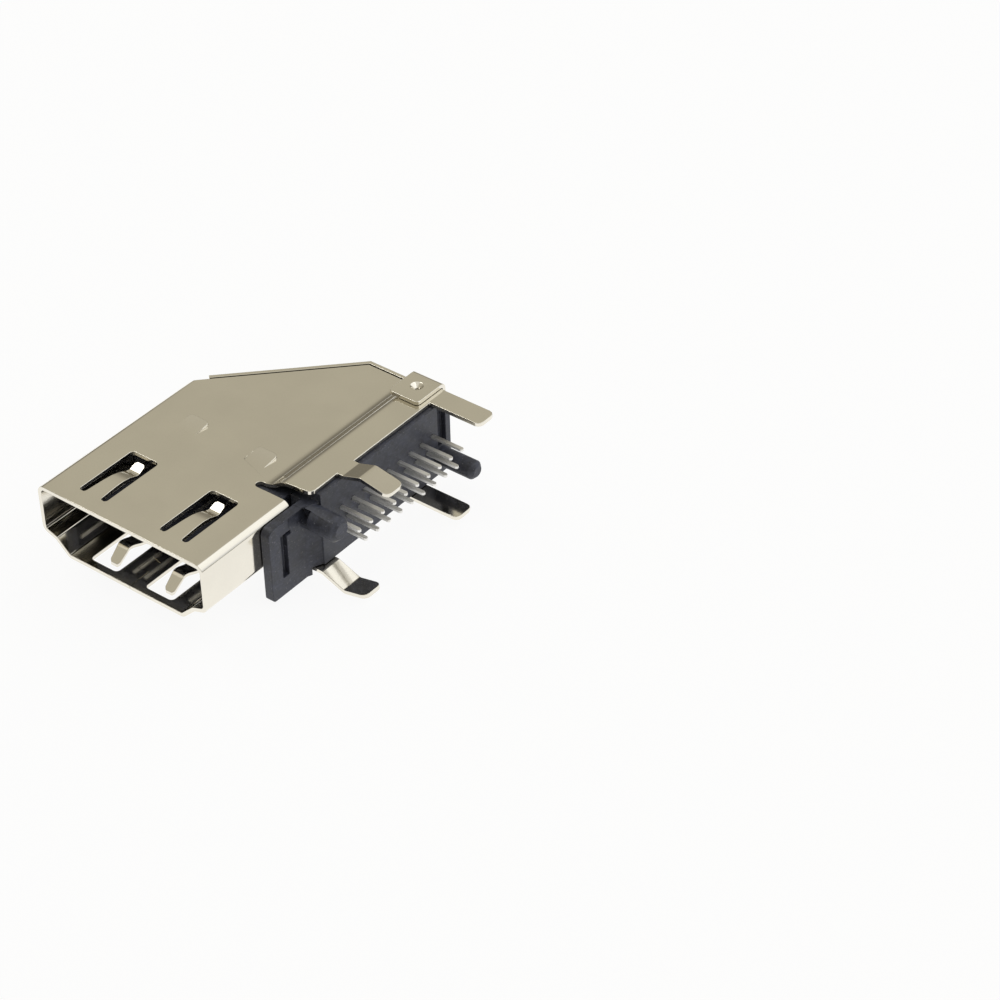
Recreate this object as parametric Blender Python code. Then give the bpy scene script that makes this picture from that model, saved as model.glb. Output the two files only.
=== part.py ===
"""Right-angle board socket for a 19-contact flat video plug, lying on its narrow side.

The pieces are one folded sheet shell, a moulded contact housing with its tongue, a moulded
base plate with two locating pegs, and 19 flat contacts. In the socket's own frame X runs
across the mouth towards the board, Y runs from the mouth to the back, and Z points out of
the wide plate. The outer left wall, the mouth edge and the narrow plate lie at zero.
"""
import math

import bmesh
import bpy
from mathutils import Vector

MM = 0.001
WELD = 0.0001 * MM
SMOOTH_DEGREES = 30

# Sheet metal
SHEET = 0.30 * MM
MOUTH_WIDTH = 14.0 * MM
MOUTH_HEIGHT = 4.55 * MM
SHOULDER_RISE = 1.44 * MM
SHOULDER_WIDTH = 1.10 * MM
SHOULDER_DROP = 0.39 * MM
SLOPE_WIDTH = 1.10 * MM
WIDE_BEND = 0.45 * MM
NARROW_BEND = 0.42 * MM
TUBE_LENGTH = 8.4 * MM
SEAM_GAP = 0.04 * MM
DOVETAIL_REACH = 0.8 * MM

# Raised lips along the board side
JOGGLE_SETBACK = 2.8 * MM
JOGGLE_LEAD = 0.7 * MM
JOGGLE_RUN = 0.95 * MM
JOGGLE_RISE = 0.7 * MM
JOGGLE_INNER_BEND = 2.0 * MM
JOGGLE_OUTER_BEND = 1.2 * MM
LIP_PROUD = 1.1 * MM
LIP_CORNER = 0.4 * MM
WIDE_LIP_SETBACK = 0.92 * MM
NARROW_LIP_SETBACK = 0.85 * MM
RELIEF_WIDTH = 0.56 * MM
RELIEF_REACH = 0.6 * MM
REAR_SLIT_WIDTH = 0.12 * MM
REAR_SLIT_LENGTH = 3.2 * MM

# Solder legs
LEG_LENGTH = 4.25 * MM
LEG_WIDTH = 1.7 * MM
LEG_CORNER = 0.45 * MM
KINK_BEND = 0.5 * MM
KINK_RETURN = 0.42 * MM
WIDE_KINK_REACH = 1.95 * MM
WIDE_KINK_RISE = 0.48 * MM
NARROW_KINK_REACH = 2.35 * MM
NARROW_KINK_RISE = 0.74 * MM
WIDE_LEG_SETBACK = 2.58 * MM
WIDE_LEG_FROM_BACK = 2.15 * MM
NARROW_LEG_FROM_BACK = 4.8 * MM

# Back wall, folded up from the narrow plate
WALL_CORNER_SHIFT = 1.45 * MM
WALL_BACK = 23.7 * MM
WALL_BEND = 0.45 * MM
WALL_GAP = 0.12 * MM
WALL_ROOT = 2.75 * MM
WALL_END = 0.95 * MM
WALL_INSET = 0.1 * MM
EAR_RISE = 1.75 * MM
SLOT_WIDTH = 0.68 * MM
SLOT_LENGTH = 3.2 * MM
SLOT_DROP = 2.15 * MM
SLOT_INSET = 1.74 * MM

# Clinch tab over the wide lip
TAB_WIDTH = 2.55 * MM
TAB_INSET = 0.35 * MM
TAB_LENGTH = 3.0 * MM
TAB_BEND = 0.3 * MM
TAB_GAP = 0.03 * MM
TAB_CORNER = 0.3 * MM
CLINCH_DIAMETER = 0.95 * MM
CLINCH_HOLE = 0.26 * MM
CLINCH_DEPTH = 0.27 * MM

# Spring windows and their fingers
WINDOW_SPREAD_WIDE = 3.55 * MM
WINDOW_SPREAD_NARROW = 2.45 * MM
WINDOW_HALF = 1.2 * MM
WINDOW_CORNER = 0.3 * MM
WIDE_WINDOW_ROOT = 1.3 * MM
WIDE_WINDOW_END = 6.4 * MM
NARROW_WINDOW_ROOT = 6.0 * MM
NARROW_WINDOW_END = 0.55 * MM
FINGER_SLOT = 0.5 * MM
FINGER_TAPER = 0.28 * MM
FINGER_DEPTH = 0.48 * MM
WIDE_FINGER_GAP = 0.48 * MM
NARROW_FINGER_GAP = 0.9 * MM
FINGER_TIP_CORNER = 0.15 * MM
FINGER_SHRINK = 0.03 * MM

# Half-sheared stops, raised at their rear ends
STOP_WIDTH = 1.75 * MM
STOP_LENGTH = 1.65 * MM
STOP_RISE = 0.22 * MM
STOP_SINK = 0.02 * MM
STOP_SHOULDER = 0.33 * MM
STOP_CORNER = 0.35 * MM
WIDE_STOP_SETBACK = 1.55 * MM
NARROW_STOP_SETBACK = 1.15 * MM
WIDE_STOP_LEFT = 3.9 * MM
WIDE_STOP_RIGHT = 1.8 * MM
NARROW_STOP_LEFT = 4.45 * MM
NARROW_STOP_RIGHT = 1.4 * MM

# Contacts
CONTACT_COUNT = 19
CONTACT_PITCH = 0.5 * MM
CONTACT_WIDTH = 0.30 * MM
CONTACT_THICK = 0.18 * MM
ROW_SPACING = 1.08 * MM
ROW_LIFT = 0.185 * MM
CONTACT_FRONT = 2.7 * MM
FIRST_TAIL_SETBACK = 2.17 * MM
LAST_TAIL_FROM_BACK = 2.37 * MM
TAIL_LENGTH = 2.65 * MM
TAIL_TAPER = 0.12 * MM
DIAGONAL_RUN = 5.6 * MM
CONTACT_TURN = 0.4 * MM
CHANNEL_GAP = 0.02 * MM

# Housing
FIT = 0.05 * MM
TONGUE_FRONT = 2.2 * MM
TONGUE_MARGIN = 0.5 * MM
CONTACT_PROUD = 0.04 * MM
TONGUE_CHAMFER = 0.25 * MM
HOUSING_GAP = 0.15 * MM

# Base plate
BASE_PROUD = 1.4 * MM
BASE_DEPTH = 2.15 * MM
BASE_CHAMFER = 0.4 * MM
CORE_SETBACK = 1.4 * MM
SHELF_SETBACK = 0.9 * MM
RAMP_SETBACK = 0.2 * MM
RAMP_LENGTH = 1.4 * MM
FLANGE_LENGTH = 3.02 * MM
FLANGE_THICK = 0.72 * MM
FLANGE_DROP = 1.0 * MM
FLANGE_TOP_DROP = 0.25 * MM
FLANGE_CORNER = 0.6 * MM
FLANGE_TOE = 0.25 * MM
GROOVE_DEPTH = 0.4 * MM
FRONT_GROOVE_WIDTH = 0.6 * MM
FRONT_GROOVE_SETBACK = 1.4 * MM
FRONT_GROOVE_LOW = 0.4 * MM
FRONT_GROOVE_DROP = 1.3 * MM
GROOVE_HOOK = 0.4 * MM
REAR_GROOVE_WIDTH = 0.85 * MM
REAR_GROOVE_INSET = 0.95 * MM
POCKET_FRONT = 1.9 * MM
POCKET_LENGTH = 1.8 * MM
POCKET_TOP = 0.4 * MM
POCKET_HEIGHT = 0.8 * MM
POCKET_DEPTH = 0.35 * MM

# Locating pegs
FRONT_PEG_SETBACK = 0.8 * MM
FRONT_PEG_DROP = 1.2 * MM
FRONT_PEG_DIAMETER = 1.8 * MM
FRONT_PEG_LENGTH = 2.25 * MM
REAR_PEG_FROM_BACK = 1.6 * MM
REAR_PEG_Z = 1.28 * MM
REAR_PEG_DIAMETER = 1.4 * MM
REAR_PEG_LENGTH = 3.25 * MM
PEG_CHAMFER = 0.3 * MM

# Flap seam: root start, tip start, tip end and root end of each dovetail, as shares of the tube
DOVETAIL_SHARES = ((0.22, 0.2, 0.37, 0.35), (0.64, 0.62, 0.83, 0.81))

# Finger profiles: (share of the length, share of the depth)
WIDE_FINGER = ((0.35, 0.02), (0.52, 0.12), (0.66, 0.42), (0.76, 0.82), (0.81, 0.97), (0.84, 1.0),
               (0.87, 0.95), (0.92, 0.72), (1.0, 0.45))
NARROW_FINGER = ((0.25, 0.02), (0.4, 0.12), (0.54, 0.45), (0.65, 0.85), (0.7, 0.97), (0.735, 1.0),
                 (0.77, 0.9), (0.82, 0.5), (1.0, -0.8))

# Derived sizes
HALF = SHEET / 2
THROUGH = 2 * SHEET
ROOT_2 = math.sqrt(2)
SHELL_WIDTH = MOUTH_WIDTH + 2 * SHEET
SHELL_HEIGHT = MOUTH_HEIGHT + 2 * SHEET
MIDDLE = SHELL_WIDTH / 2
WIDE_MID = SHELL_HEIGHT - HALF
WIDE_LIP_MID = WIDE_MID + JOGGLE_RISE
NARROW_LIP_MID = HALF - JOGGLE_RISE
JOGGLE_START = SHELL_WIDTH - JOGGLE_SETBACK
LIP_EDGE = SHELL_WIDTH + LIP_PROUD
LEG_TIP = LIP_EDGE + LEG_LENGTH
WIDE_LIP_FRONT = TUBE_LENGTH + WIDE_LIP_SETBACK
NARROW_LIP_FRONT = TUBE_LENGTH + NARROW_LIP_SETBACK
WIDE_LEG_FRONT = WIDE_LIP_FRONT + WIDE_LEG_SETBACK
WIDE_LEG_REAR = WALL_BACK - WIDE_LEG_FROM_BACK
NARROW_LEG_REAR = WALL_BACK - NARROW_LEG_FROM_BACK
WALL_CORNER = MIDDLE + WALL_CORNER_SHIFT
WALL_MID = WALL_BACK - HALF
WALL_RIGHT = LIP_EDGE - WALL_INSET
BACK_FOLD = WALL_MID - WALL_BEND
TAB_RIGHT = LIP_EDGE - TAB_INSET
TAB_LEFT = TAB_RIGHT - TAB_WIDTH
TAB_FRONT = WALL_BACK - TAB_LENGTH
TAB_MID = WIDE_LIP_MID + SHEET + TAB_GAP
SEAM_X = MIDDLE + DOVETAIL_REACH / 2
BULKHEAD = TUBE_LENGTH + FIT
ROW_MIDDLE = SHELL_HEIGHT / 2 + ROW_LIFT
BASE_OUTER = SHELL_WIDTH + BASE_PROUD
BASE_INNER = BASE_OUTER - BASE_DEPTH
BASE_BACK = WALL_BACK - SHEET - 2 * FIT
BASE_LOW = NARROW_LIP_MID + HALF + FIT
BASE_HIGH = WIDE_LIP_MID - HALF - FIT
HOUSING_RIGHT = BASE_INNER - HOUSING_GAP
FLANGE_INNER = SHELL_WIDTH + FIT
FLANGE_OUTER = FLANGE_INNER + FLANGE_THICK
FLANGE_FRONT = TUBE_LENGTH - FLANGE_LENGTH
FLANGE_TOP = SHELL_HEIGHT - FLANGE_TOP_DROP


def diagonal_limit(x, inset):
    """Y of the 45 degree line that lies `inset` inside the back wall's outer face."""
    return x - WALL_CORNER + WALL_BACK - inset * ROOT_2


def plan_limit(x, inset):
    """Y where the plan outline, `inset` inside the wall's outer face, ends at x."""
    return min(diagonal_limit(x, inset), WALL_BACK - inset)


def arc_corner(before, corner, after, radius, steps):
    """Points of the arc of `radius` that rounds `corner` between its two neighbours."""
    corner = Vector(corner)
    to_before = (Vector(before) - corner).normalized()
    to_after = (Vector(after) - corner).normalized()
    half_angle = to_before.angle(to_after) / 2
    reach = radius / math.tan(half_angle)
    centre = corner + (to_before + to_after).normalized() * (radius / math.sin(half_angle))
    start = corner + to_before * reach - centre
    end = corner + to_after * reach - centre
    points = []
    for step in range(steps + 1):
        share = step / steps
        angle = start.angle(end)
        a = math.sin((1 - share) * angle) / math.sin(angle)
        b = math.sin(share * angle) / math.sin(angle)
        points.append(tuple(centre + start * a + end * b))
    return points


def rounded_path(corners, steps=4):
    """Open path through (u, v, radius) corners, each rounded by its own radius."""
    points = [tuple(corners[0][:2])]
    for before, corner, after in zip(corners, corners[1:], corners[2:]):
        if corner[2] > 0:
            points += arc_corner(before[:2], corner[:2], after[:2], corner[2], steps)
        else:
            points.append(tuple(corner[:2]))
    return points + [tuple(corners[-1][:2])]


def inset_corners(corners, distance):
    """Corners of a closed clockwise polygon after each side moves inwards by `distance`."""
    count = len(corners)
    result = []
    for index in range(count):
        a = Vector(corners[index - 1])
        b = Vector(corners[index])
        c = Vector(corners[(index + 1) % count])
        first = (b - a).normalized()
        second = (c - b).normalized()
        normal_1 = Vector((first.y, -first.x))
        normal_2 = Vector((second.y, -second.x))
        mitre = (normal_1 + normal_2) / (1 + normal_1.dot(normal_2))
        result.append(tuple(b + mitre * distance))
    return result


def mouth_corners(inset):
    """D-shaped mouth section as (x, z) corners, `inset` inside the shell's outer face."""
    low = SHOULDER_RISE - SHOULDER_DROP
    left = [(0, SHELL_HEIGHT), (0, SHOULDER_RISE), (SHOULDER_WIDTH, low), (SHOULDER_WIDTH + SLOPE_WIDTH, 0)]
    right = [(SHELL_WIDTH - x, z) for x, z in reversed(left)]
    clockwise = list(reversed(left + right))
    return list(reversed(inset_corners(clockwise, inset)))


def mesh_object(name, bm, material=None):
    """New object from a bmesh, with an optional material."""
    mesh = bpy.data.meshes.new(name)
    bm.to_mesh(mesh)
    bm.free()
    item = bpy.data.objects.new(name, mesh)
    bpy.context.scene.collection.objects.link(item)
    if material:
        mesh.materials.append(material)
    return item


def helper_object(name, bm):
    """Object that only cuts or adds to another one, and is hidden from renders."""
    item = mesh_object(name, bm)
    item.hide_render = True
    item.display_type = "WIRE"
    return item


def add_boolean(target, helper, operation):
    """Boolean modifier on `target` that uses `helper`."""
    modifier = target.modifiers.new(operation.lower() + "_" + helper.name, "BOOLEAN")
    modifier.object = helper
    modifier.operation = operation
    modifier.solver = "EXACT"


def add_prism(bm, outline, low, high, place=None):
    """Closed prism: `outline` is (u, v) points, and `place` maps (u, v, w) to a position."""
    place = place or (lambda u, v, w: (u, v, w))
    bottom = [bm.verts.new(place(u, v, low)) for u, v in outline]
    top = [bm.verts.new(place(u, v, high)) for u, v in outline]
    faces = [bm.faces.new(bottom), bm.faces.new(top)]
    count = len(outline)
    for index in range(count):
        after = (index + 1) % count
        faces.append(bm.faces.new((bottom[index], bottom[after], top[after], top[index])))
    bmesh.ops.recalc_face_normals(bm, faces=faces)


def add_box(bm, low, high):
    """Closed box between two corners."""
    outline = [(low[0], low[1]), (high[0], low[1]), (high[0], high[1]), (low[0], high[1])]
    add_prism(bm, outline, low[2], high[2])


def along_x(u, v, w):
    """Prism frame with its outline in Y and Z and its length along X."""
    return (w, u, v)


def along_y(u, v, w):
    """Prism frame with its outline in X and Z and its length along Y."""
    return (u, w, v)


def add_patch(bm, rows):
    """Sheet patch through a grid of positions, with collapsed cells left out."""
    grid = [[bm.verts.new(point) for point in row] for row in rows]
    for upper, lower in zip(grid, grid[1:]):
        for a, b, c, d in zip(upper, upper[1:], lower[1:], lower):
            corners = []
            for vertex in (a, b, c, d):
                if all((vertex.co - other.co).length > WELD for other in corners):
                    corners.append(vertex)
            if len(corners) > 2:
                bm.faces.new(corners)


def common_section():
    """Middle line of the section that tube and rear part share: wide plate, left wall, narrow plate."""
    corners = mouth_corners(HALF)
    bends = [WIDE_BEND, NARROW_BEND, NARROW_BEND, NARROW_BEND]
    edge_inset = SHEET + WALL_GAP
    path = [(JOGGLE_START, WIDE_MID, 0)]
    path.append((WALL_BACK - edge_inset - diagonal_limit(0, edge_inset), WIDE_MID, 0))
    path += [(x, z, bend) for (x, z), bend in zip(corners[:4], bends)]
    path += [(x, HALF, 0) for x in (WALL_ROOT, fold_corner())]
    path.append((JOGGLE_START, HALF, 0))
    return rounded_path(path)


def fold_corner():
    """X where the fold lines of the diagonal wall and the back wall meet on the narrow plate."""
    return BACK_FOLD - diagonal_limit(0, HALF + WALL_BEND)


def right_section():
    """Middle line of the tube's board side, from the narrow plate up to the wide plate."""
    corners = mouth_corners(HALF)
    bends = [NARROW_BEND, NARROW_BEND, NARROW_BEND, WIDE_BEND]
    path = [(JOGGLE_START, HALF, 0)]
    path += [(x, z, bend) for (x, z), bend in zip(corners[4:], bends)]
    path.append((JOGGLE_START, WIDE_MID, 0))
    return rounded_path(path)


def with_stops(path, stops):
    """Path with a point added wherever it passes one of the `stops` along its first coordinate."""
    points = [path[0]]
    for (x_1, z_1), (x_2, z_2) in zip(path, path[1:]):
        points += [(x, z_1 + (z_2 - z_1) * (x - x_1) / (x_2 - x_1)) for x in sorted(stops) if x_1 < x < x_2]
        points.append((x_2, z_2))
    return points


def lip_section(flat, level, stops):
    """Joggle and lip from the plate at height `flat` to the lip at `level`, with points at `stops`."""
    ramp_start = JOGGLE_START + JOGGLE_LEAD
    path = [(JOGGLE_START, flat, 0), (ramp_start, flat, JOGGLE_INNER_BEND)]
    path += [(ramp_start + JOGGLE_RUN, level, JOGGLE_OUTER_BEND), (LIP_EDGE, level, 0)]
    return with_stops(rounded_path(path, 6), stops)


def leg_columns(level, reach, rise):
    """Leg's middle line as (x, z, inset) points; `inset` narrows both sides to round the tip.

    A front leg is kinked: it moves outwards by `rise` over `reach`, and partly back to its tip.
    """
    line = [(LIP_EDGE, level), (LEG_TIP, level)]
    if rise:
        outward = 1 if level > SHELL_HEIGHT / 2 else -1
        kink = level + outward * rise
        corners = [(LIP_EDGE, level, 0), (LIP_EDGE + KINK_BEND, level, KINK_BEND)]
        corners += [(LIP_EDGE + reach, kink, KINK_BEND), (LEG_TIP, kink - outward * KINK_RETURN, 0)]
        line = rounded_path(corners, 3)
    (x_before, z_before), (x_tip, z_tip) = line[-2:]
    points = [(x, z, 0) for x, z in line[:-1]]
    for step in range(4):
        angle = math.radians(90 * step / 3)
        back_off = LEG_CORNER * (1 - math.sin(angle))
        share = 1 - back_off / (x_tip - x_before)
        inset = LEG_CORNER * (1 - math.cos(angle))
        points.append((x_tip - back_off, z_before + (z_tip - z_before) * share, inset))
    return points


def add_leg(bm, front, columns):
    """Solder leg along its middle line, between `front` and `front` plus the leg width."""
    add_patch(bm, [[(x, front + inset, z) for x, z, inset in columns],
                   [(x, front + LEG_WIDTH - inset, z) for x, z, inset in columns]])


def lip_front(x, front, corner):
    """Y of a lip's front edge, which slants back to `front` and ends in a rounded corner."""
    if x <= JOGGLE_START:
        return TUBE_LENGTH
    start = TUBE_LENGTH + RELIEF_WIDTH
    y = start + (front - start) * (x - JOGGLE_START) / (LIP_EDGE - JOGGLE_START)
    into = max(x - LIP_EDGE + corner, 0)
    return y + corner - math.sqrt(corner ** 2 - into ** 2)


def wall_point(x, offset):
    """Plan position `offset` outwards from the fold line's point at x."""
    corner = fold_corner()
    if x < corner:
        step = offset / ROOT_2
        return x - step, diagonal_limit(x, HALF + WALL_BEND) + step
    shift = offset * math.tan(math.radians(22.5)) if x == corner else 0
    return x - shift, BACK_FOLD + offset


def add_back_wall(bm, columns):
    """Wall strip swept along the narrow plate's rear edge, which is given as (x, z) columns."""
    rows = []
    for step in range(5):
        angle = math.radians(90 * step / 4)
        out = WALL_BEND * math.sin(angle)
        rise = WALL_BEND * (1 - math.cos(angle))
        rows.append([(*wall_point(x, out), z + rise) for x, z in columns])
    for height in (EAR_RISE, SHELL_HEIGHT):
        rows.append([(*wall_point(x, WALL_BEND), height) for x, _ in columns])
    add_patch(bm, rows)
    root = rows[4:]
    end_x, end_y = wall_point(WALL_END + WALL_BEND / ROOT_2, WALL_BEND)
    end = [(end_x, end_y, EAR_RISE), (end_x, end_y, EAR_RISE), (end_x, end_y, SHELL_HEIGHT)]
    add_patch(bm, [[row[0], point] for row, point in zip(root, end)])
    tab_xs = [x for x, _ in columns if TAB_LEFT <= x <= TAB_RIGHT]
    rows = [[(x, WALL_MID, SHELL_HEIGHT) for x in tab_xs]]
    for step in range(5):
        angle = math.radians(90 * step / 4)
        y = WALL_MID - TAB_BEND * (1 - math.cos(angle))
        rows.append([(x, y, TAB_MID - TAB_BEND * (1 - math.sin(angle))) for x in tab_xs])
    for step in range(4):
        angle = math.radians(30 * step)
        y = TAB_FRONT + TAB_CORNER * (1 - math.sin(angle))
        inset = TAB_CORNER * (1 - math.cos(angle))
        low, high = TAB_LEFT + inset, TAB_RIGHT - inset
        rows.append([(min(max(x, low), high), y, TAB_MID) for x in tab_xs])
    add_patch(bm, rows)


def shell_surface():
    """Middle surface of the folded sheet, welded from its patches."""
    bm = bmesh.new()
    common = common_section()
    ring = common + right_section()[1:]
    add_patch(bm, [[(x, 0, z) for x, z in ring], [(x, TUBE_LENGTH, z) for x, z in ring]])
    turns = [LIP_CORNER * (1 - math.sin(math.radians(15 * step))) for step in range(6)]
    wide_lip = lip_section(WIDE_MID, WIDE_LIP_MID, [LIP_EDGE - turn for turn in turns])
    narrow_lip = lip_section(HALF, NARROW_LIP_MID, [TAB_LEFT, TAB_RIGHT, WALL_RIGHT])
    fronts = (WIDE_LEG_FRONT, WIDE_LEG_REAR, NARROW_LIP_FRONT, NARROW_LEG_REAR)
    stops = sorted({y for front in fronts for y in (front, front + LEG_WIDTH)})
    fold_inset = HALF + WALL_BEND
    edge_inset = SHEET + WALL_GAP

    def column(x, z, start, inset):
        end = plan_limit(x, inset)
        return [(x, min(max(y, start), end), z) for y in [start] + stops + [end]]

    section = []
    for x, z in reversed(wide_lip[1:]):
        section.append(column(x, z, lip_front(x, WIDE_LIP_FRONT, LIP_CORNER), edge_inset))
    for x, z in common:
        on_plate = z < HALF * 1.001 and x >= WALL_ROOT
        section.append(column(x, z, TUBE_LENGTH, fold_inset if on_plate else edge_inset))
    for x, z in narrow_lip[1:]:
        section.append(column(x, z, lip_front(x, NARROW_LIP_FRONT, 0), fold_inset))
    add_patch(bm, section)
    add_leg(bm, WIDE_LEG_FRONT, leg_columns(WIDE_LIP_MID, WIDE_KINK_REACH, WIDE_KINK_RISE))
    add_leg(bm, WIDE_LEG_REAR, leg_columns(WIDE_LIP_MID, 0, 0))
    add_leg(bm, NARROW_LIP_FRONT, leg_columns(NARROW_LIP_MID, NARROW_KINK_REACH, NARROW_KINK_RISE))
    add_leg(bm, NARROW_LEG_REAR, leg_columns(NARROW_LIP_MID, 0, 0))
    plate = [(x, z) for x, z in common if z < HALF * 1.001 and x >= WALL_ROOT]
    add_back_wall(bm, plate + [(x, z) for x, z in narrow_lip[1:] if x <= WALL_RIGHT])
    bmesh.ops.remove_doubles(bm, verts=bm.verts, dist=WELD)
    bmesh.ops.recalc_face_normals(bm, faces=bm.faces)
    return bm


def add_ribbon(bm, path, widths, low, high):
    """Flat strip along a plan path: `widths` has its width at each point, with mitred turns."""
    count = len(path)
    left = []
    right = []
    for index, width in enumerate(widths):
        before = Vector(path[max(index - 1, 0)])
        point = Vector(path[index])
        after = Vector(path[min(index + 1, count - 1)])
        first = (point - before).normalized() if index else (after - point).normalized()
        second = (after - point).normalized() if index < count - 1 else first
        normal_1 = Vector((-first.y, first.x))
        normal_2 = Vector((-second.y, second.x))
        mitre = (normal_1 + normal_2) / (1 + normal_1.dot(normal_2)) * width / 2
        left.append(tuple(point + mitre))
        right.append(tuple(point - mitre))
    add_prism(bm, left + right[::-1], low, high)


def add_loft(bm, rings):
    """Closed solid through rings of equal point counts, with flat ends."""
    loops = [[bm.verts.new(point) for point in ring] for ring in rings]
    faces = [bm.faces.new(loops[0]), bm.faces.new(loops[-1])]
    for one, two in zip(loops, loops[1:]):
        for index in range(len(one)):
            before = index - 1
            faces.append(bm.faces.new((one[before], one[index], two[index], two[before])))
    bmesh.ops.recalc_face_normals(bm, faces=faces)


def side_height(wide_side, depth):
    """Height `depth` inside the outer face of the wide plate or of the narrow plate."""
    return SHELL_HEIGHT - depth if wide_side else depth


def window_centres(wide_side):
    """X of the two spring windows on one side."""
    spread = WINDOW_SPREAD_WIDE if wide_side else WINDOW_SPREAD_NARROW
    return MIDDLE - spread, MIDDLE + spread


def window_ends(wide_side):
    """Y of a window's root end, where its finger grows from the plate, and of its far end."""
    if wide_side:
        return WIDE_WINDOW_ROOT, WIDE_WINDOW_END
    return NARROW_WINDOW_ROOT, NARROW_WINDOW_END


def add_window(bm, centre, wide_side):
    """Prism of one spring window, right through its plate, with rounded corners."""
    root, end = window_ends(wide_side)
    corners = [(centre, root, 0), (centre - WINDOW_HALF, root, FINGER_SLOT / 2)]
    corners += [(centre - WINDOW_HALF, end, WINDOW_CORNER), (centre + WINDOW_HALF, end, WINDOW_CORNER)]
    corners += [(centre + WINDOW_HALF, root, FINGER_SLOT / 2), (centre, root, 0)]
    outline = rounded_path(corners)[:-1]
    heights = sorted((side_height(wide_side, -THROUGH), side_height(wide_side, THROUGH)))
    add_prism(bm, outline, *heights)


def finger_stations(wide_side, length):
    """Finger's profile as (distance from its root, dip, change of half width)."""
    fillet = FINGER_SLOT / 2 + FINGER_SHRINK
    stations = [(-SHEET, 0, fillet)]
    for step in range(4):
        angle = math.radians(30 * step)
        stations.append((fillet * (1 - math.cos(angle)) - FINGER_SHRINK, 0, fillet * (1 - math.sin(angle))))
    profile = WIDE_FINGER if wide_side else NARROW_FINGER
    stations += [(share * length, dip * FINGER_DEPTH, -FINGER_TAPER * share) for share, dip in profile]
    (y_1, dip_1, _), (y_2, dip_2, taper) = stations[-2:]
    lean = (dip_2 - dip_1) / (y_2 - y_1) * FINGER_TIP_CORNER
    stations[-1] = (y_2 - FINGER_TIP_CORNER, dip_2 - lean, taper)
    return stations + [(y_2, dip_2, taper - FINGER_TIP_CORNER)]


def add_finger(bm, centre, wide_side):
    """Spring finger: a tapering strip that dips into the mouth and turns outwards at its tip."""
    root, end = window_ends(wide_side)
    forward = 1 if end > root else -1
    length = abs(end - root) - (WIDE_FINGER_GAP if wide_side else NARROW_FINGER_GAP)
    half_thick = HALF - FINGER_SHRINK / 2
    rings = []
    for along, dip, widen in finger_stations(wide_side, length):
        y = root + forward * along
        half_width = WINDOW_HALF - FINGER_SLOT + widen
        top = side_height(wide_side, HALF + dip - half_thick)
        bottom = side_height(wide_side, HALF + dip + half_thick)
        rings.append([(centre - half_width, y, bottom), (centre + half_width, y, bottom),
                      (centre + half_width, y, top), (centre - half_width, y, top)])
    add_loft(bm, rings)


def stops():
    """Half-sheared stops as (x, y, wide side) of the middles of their front ends."""
    wide_y = TUBE_LENGTH + WIDE_STOP_SETBACK
    narrow_y = TUBE_LENGTH + NARROW_STOP_SETBACK
    wide = [(x, wide_y, True) for x in (WIDE_STOP_LEFT, JOGGLE_START - WIDE_STOP_RIGHT)]
    return wide + [(x, narrow_y, False) for x in (NARROW_STOP_LEFT, JOGGLE_START - NARROW_STOP_RIGHT)]


def stop_ring(stop, inset, front_depth, rear_depth):
    """Ring of a stop's outline with its sides `inset`, whose depth changes evenly to its rear end."""
    x, y, wide_side = stop
    half = STOP_WIDTH / 2 - inset
    rear = STOP_LENGTH
    bend = STOP_CORNER
    corners = [(0, 0, 0), (-half, 0, 0), (-half, rear, bend), (half, rear, bend), (half, 0, 0), (0, 0, 0)]
    ring = []
    for u, v in rounded_path(corners)[:-1]:
        depth = front_depth + (rear_depth - front_depth) * v / STOP_LENGTH
        ring.append((x + u, y + v, side_height(wide_side, depth)))
    return ring


def add_stop(bm, stop):
    """Raised body of a stop: its rear end is sheared off, and its sides slope up to its top."""
    rings = [stop_ring(stop, 0, HALF, HALF)]
    for share, climb in ((0, 0.02), (0.3, 0.2), (0.65, 0.78), (1, 1)):
        rings.append(stop_ring(stop, share * STOP_SHOULDER, STOP_SINK, -climb * STOP_RISE))
    add_loft(bm, rings)


def add_stop_recess(bm, stop):
    """Hollow under a stop, which follows its rise one sheet thickness below."""
    rings = [stop_ring(stop, 0, 2 * SHEET, 2 * SHEET)]
    rings.append(stop_ring(stop, 0, SHEET + STOP_SINK, SHEET - STOP_RISE))
    add_loft(bm, rings)


def seam_path():
    """Plan path of the flap's seam with its two dovetails, and of the flap's rear edge."""
    path = [(SEAM_X, -THROUGH)]
    for shares in DOVETAIL_SHARES:
        start, tip_start, tip_end, end = (share * TUBE_LENGTH for share in shares)
        path += [(SEAM_X, start), (SEAM_X - DOVETAIL_REACH, tip_start)]
        path += [(SEAM_X - DOVETAIL_REACH, tip_end), (SEAM_X, end)]
    return path + [(SEAM_X, TUBE_LENGTH), (JOGGLE_START + HALF, TUBE_LENGTH)]


def add_slot(bm, x, y, direction):
    """Upright oval slot through the back wall, whose face looks along `direction`."""
    straight = SLOT_LENGTH / 2 - SLOT_WIDTH / 2
    outline = []
    for end in (1, -1):
        for step in range(7):
            angle = math.pi * step / 6
            rise = straight + math.sin(angle) * SLOT_WIDTH / 2
            outline.append((end * math.cos(angle) * SLOT_WIDTH / 2, end * rise))
    middle = SHELL_HEIGHT - SLOT_DROP
    across = Vector((direction.y, -direction.x))

    def place(u, v, w):
        return (x + across.x * u + direction.x * w, y + across.y * u + direction.y * w, middle + v)

    add_prism(bm, outline, -THROUGH, THROUGH, place)


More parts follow.
